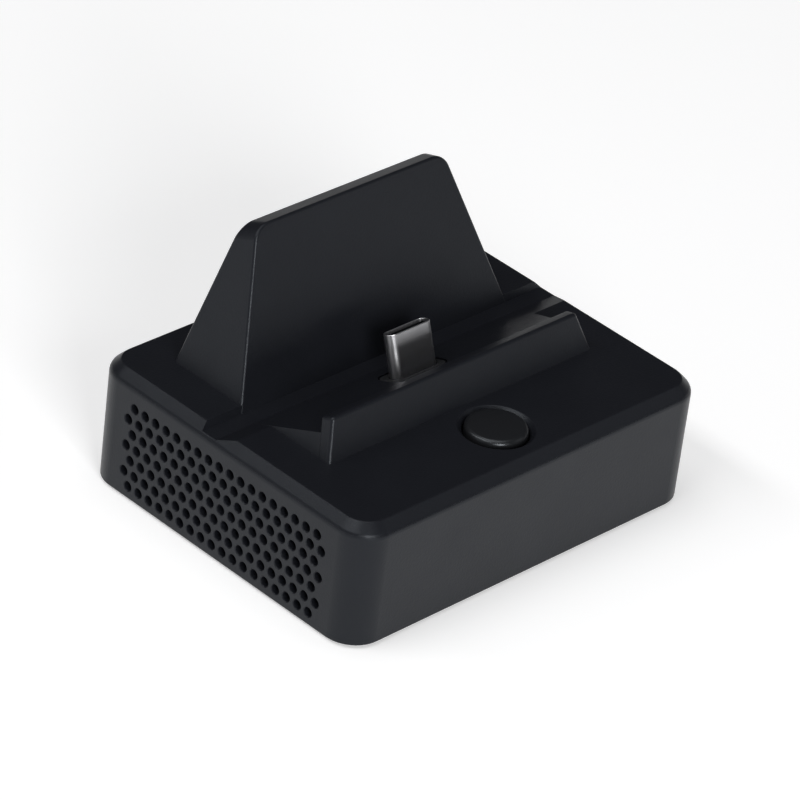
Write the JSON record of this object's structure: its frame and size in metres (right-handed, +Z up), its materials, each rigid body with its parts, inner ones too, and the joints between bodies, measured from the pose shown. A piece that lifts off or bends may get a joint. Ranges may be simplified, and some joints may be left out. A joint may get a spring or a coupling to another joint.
{
  "type": "handheld console dock",
  "caption": "Compact charging dock with perforated side walls, a leaning cradle with an upright plug, a front push button and rear sockets.",
  "frame": {"origin": "on the table, under the middle of the box", "axes": "+X to the right seen from the front, +Y to the back where the sockets are, +Z up"},
  "size_m": [0.068, 0.055, 0.0423],
  "materials": {
    "shell_plastic": "satin",
    "button_plastic": "gloss",
    "foot_rubber": "matte",
    "board_laminate": "satin",
    "socket_steel": "satin",
    "core_plastic": "satin",
    "collar_plastic": "satin",
    "contact_brass": "gloss",
    "cable_plastic": "satin",
    "chip_resin": "matte",
    "capacitor_ceramic": "satin"
  },
  "bodies": {
    "dock": {"top_cover": "shell_plastic", "vented_body": "shell_plastic", "base_plate": "shell_plastic", "foot_front_left": "foot_rubber", "foot_rear_left": "foot_rubber", "foot_front_right": "foot_rubber", "foot_rear_right": "foot_rubber", "main_board": "board_laminate", "plug_board": "board_laminate", "power_socket_shell": "socket_steel", "video_socket_shell": "socket_steel", "data_socket_shell": "socket_steel", "power_socket_core": "core_plastic", "video_socket_core": "core_plastic", "data_socket_core": "core_plastic", "plug_shell": "socket_steel", "plug_insert": "core_plastic", "plug_contacts": "contact_brass", "plug_collar": "collar_plastic", "upper_cable_socket": "cable_plastic", "lower_cable_socket": "cable_plastic", "flat_cable": "cable_plastic", "switch_body": "core_plastic", "video_chip": "chip_resin", "hub_chip": "chip_resin", "power_chip": "chip_resin", "power_inductor": "chip_resin", "capacitors": "capacitor_ceramic"},
    "button": {"button_cap": "button_plastic", "switch_plunger": "core_plastic"}
  },
  "joints": [
    {"name": "button_press", "type": "slide", "parent": "dock", "child": "button", "axis": [0, 0, -1], "range_m": [0, 0.0006], "stiffness_N_per_m": 2500}
  ]
}
